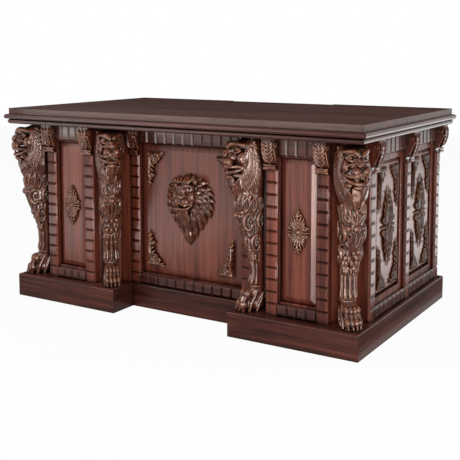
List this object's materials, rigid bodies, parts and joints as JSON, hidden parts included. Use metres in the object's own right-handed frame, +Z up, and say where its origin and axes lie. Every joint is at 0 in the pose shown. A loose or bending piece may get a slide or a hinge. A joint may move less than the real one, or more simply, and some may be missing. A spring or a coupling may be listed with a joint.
{
  "type": "executive desk",
  "caption": "Carved mahogany pedestal desk with lion legs at the front corners, a lion mask on the modesty panel, blocked pilasters and sliding drawers on the user side.",
  "frame": {"origin": "on the floor under the middle of the desk", "axes": "+X to the right of someone facing the carved front, +Y towards the user side with the drawers, +Z up"},
  "size_m": [1.608, 0.942, 0.79],
  "materials": {
    "carcase_mahogany": "gloss lacquer",
    "panel_mahogany": "gloss lacquer",
    "top_mahogany": "satin lacquer",
    "carved_mahogany": "rubbed gloss lacquer",
    "lining_wood": "plain sealed"
  },
  "bodies": {
    "carcase": {"capitals": "carved_mahogany", "centre_corner_ornaments": "carved_mahogany", "centre_frame": "carcase_mahogany", "centre_panel": "panel_mahogany", "centre_pilasters": "carcase_mahogany", "centre_plinth": "carcase_mahogany", "corner_boards": "carcase_mahogany", "corner_posts": "carcase_mahogany", "desktop_slab": "top_mahogany", "drawer_runners": "lining_wood", "friezes": "carcase_mahogany", "front_medallions": "carved_mahogany", "front_panels": "panel_mahogany", "front_pilasters": "carcase_mahogany", "kneehole_rails": "carcase_mahogany", "left_face_frame": "carcase_mahogany", "left_front_frame": "carcase_mahogany", "left_inner_side": "carcase_mahogany", "left_plinth": "carcase_mahogany", "left_side_frame": "carcase_mahogany", "lion_left_inner": "carved_mahogany", "lion_left_outer": "carved_mahogany", "lion_mask": "carved_mahogany", "lion_right_inner": "carved_mahogany", "lion_right_outer": "carved_mahogany", "moulding_back": "carcase_mahogany", "moulding_front": "carcase_mahogany", "moulding_left": "carcase_mahogany", "moulding_right": "carcase_mahogany", "right_face_frame": "carcase_mahogany", "right_front_frame": "carcase_mahogany", "right_inner_side": "carcase_mahogany", "right_plinth": "carcase_mahogany", "right_side_frame": "carcase_mahogany", "side_corner_ornaments": "carved_mahogany", "side_medallions": "carved_mahogany", "side_panels": "panel_mahogany", "side_pilasters": "carcase_mahogany", "top_battens": "lining_wood"},
    "left_bottom_drawer": {"left_bottom_drawer_front": "panel_mahogany", "left_bottom_drawer_box": "lining_wood", "left_bottom_drawer_knobs": "carcase_mahogany"},
    "left_middle_drawer": {"left_middle_drawer_front": "panel_mahogany", "left_middle_drawer_box": "lining_wood", "left_middle_drawer_knobs": "carcase_mahogany"},
    "left_top_drawer": {"left_top_drawer_front": "panel_mahogany", "left_top_drawer_box": "lining_wood", "left_top_drawer_knobs": "carcase_mahogany"},
    "right_bottom_drawer": {"right_bottom_drawer_front": "panel_mahogany", "right_bottom_drawer_box": "lining_wood", "right_bottom_drawer_knobs": "carcase_mahogany"},
    "right_middle_drawer": {"right_middle_drawer_front": "panel_mahogany", "right_middle_drawer_box": "lining_wood", "right_middle_drawer_knobs": "carcase_mahogany"},
    "right_top_drawer": {"right_top_drawer_front": "panel_mahogany", "right_top_drawer_box": "lining_wood", "right_top_drawer_knobs": "carcase_mahogany"},
    "centre_drawer": {"centre_drawer_front": "panel_mahogany", "centre_drawer_box": "lining_wood", "centre_drawer_knobs": "carcase_mahogany"}
  },
  "joints": [
    {"name": "left_bottom_drawer_slide", "type": "slide", "parent": "carcase", "child": "left_bottom_drawer", "axis": [0, 1, 0], "range_m": [0, 0.36]},
    {"name": "left_middle_drawer_slide", "type": "slide", "parent": "carcase", "child": "left_middle_drawer", "axis": [0, 1, 0], "range_m": [0, 0.36]},
    {"name": "left_top_drawer_slide", "type": "slide", "parent": "carcase", "child": "left_top_drawer", "axis": [0, 1, 0], "range_m": [0, 0.36]},
    {"name": "right_bottom_drawer_slide", "type": "slide", "parent": "carcase", "child": "right_bottom_drawer", "axis": [0, 1, 0], "range_m": [0, 0.36]},
    {"name": "right_middle_drawer_slide", "type": "slide", "parent": "carcase", "child": "right_middle_drawer", "axis": [0, 1, 0], "range_m": [0, 0.36]},
    {"name": "right_top_drawer_slide", "type": "slide", "parent": "carcase", "child": "right_top_drawer", "axis": [0, 1, 0], "range_m": [0, 0.36]},
    {"name": "centre_drawer_slide", "type": "slide", "parent": "carcase", "child": "centre_drawer", "axis": [0, 1, 0], "range_m": [0, 0.3]}
  ]
}
